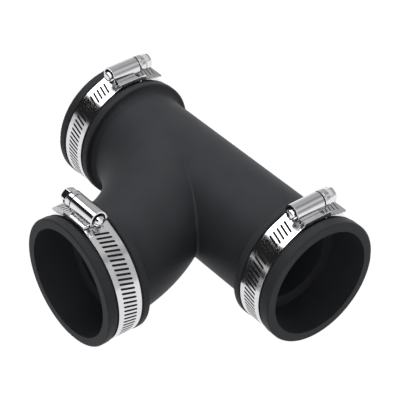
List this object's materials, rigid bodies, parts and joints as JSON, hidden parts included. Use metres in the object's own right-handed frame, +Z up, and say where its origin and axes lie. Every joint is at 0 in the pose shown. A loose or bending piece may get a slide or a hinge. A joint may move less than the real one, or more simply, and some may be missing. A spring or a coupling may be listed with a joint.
{
  "type": "flexible pipe tee",
  "caption": "Flexible rubber pipe tee with a swept branch. Each socket has a worm-drive clamp in a groove round its collar.",
  "frame": {"origin": "centre of the straight end's mouth", "axes": "+X out of the straight mouth along the run, -Y out of the branch's mouth, +Z up towards the screws"},
  "size_m": [0.18, 0.1368, 0.0805],
  "materials": {
    "rubber": "matt moulded black rubber",
    "band_steel": "satin stainless strip",
    "saddle_steel": "satin stainless strip",
    "housing_steel": "bright stainless sheet",
    "screw_steel": "bright turned steel"
  },
  "bodies": {
    "tee": {"rubber_tee": "rubber"},
    "straight_end_clamp": {"straight_end_band": "band_steel", "straight_end_saddle": "saddle_steel", "straight_end_housing": "housing_steel"},
    "straight_end_worm": {"straight_end_screw": "screw_steel"},
    "sweep_end_clamp": {"sweep_end_band": "band_steel", "sweep_end_saddle": "saddle_steel", "sweep_end_housing": "housing_steel"},
    "sweep_end_worm": {"sweep_end_screw": "screw_steel"},
    "branch_clamp": {"branch_band": "band_steel", "branch_saddle": "saddle_steel", "branch_housing": "housing_steel"},
    "branch_worm": {"branch_screw": "screw_steel"}
  },
  "joints": [
    {"name": "straight_end_clamp_turn", "type": "hinge", "parent": "tee", "child": "straight_end_clamp", "pos_m": [-0.0145, 0, 0], "axis": [1, 0, 0], "continuous": true},
    {"name": "straight_end_screw_turn", "type": "hinge", "parent": "straight_end_clamp", "child": "straight_end_worm", "pos_m": [-0.0145, 0, 0.0402], "axis": [0, 1, 0], "continuous": true},
    {"name": "sweep_end_clamp_turn", "type": "hinge", "parent": "tee", "child": "sweep_end_clamp", "pos_m": [-0.167, 0, 0], "axis": [1, 0, 0], "continuous": true},
    {"name": "sweep_end_screw_turn", "type": "hinge", "parent": "sweep_end_clamp", "child": "sweep_end_worm", "pos_m": [-0.167, 0, 0.0402], "axis": [0, 1, 0], "continuous": true},
    {"name": "branch_clamp_turn", "type": "hinge", "parent": "tee", "child": "branch_clamp", "pos_m": [-0.0778, -0.0879, 0], "axis": [0, 1, 0], "continuous": true},
    {"name": "branch_screw_turn", "type": "hinge", "parent": "branch_clamp", "child": "branch_worm", "pos_m": [-0.0778, -0.0879, 0.0402], "axis": [-1, 0, 0], "continuous": true}
  ]
}
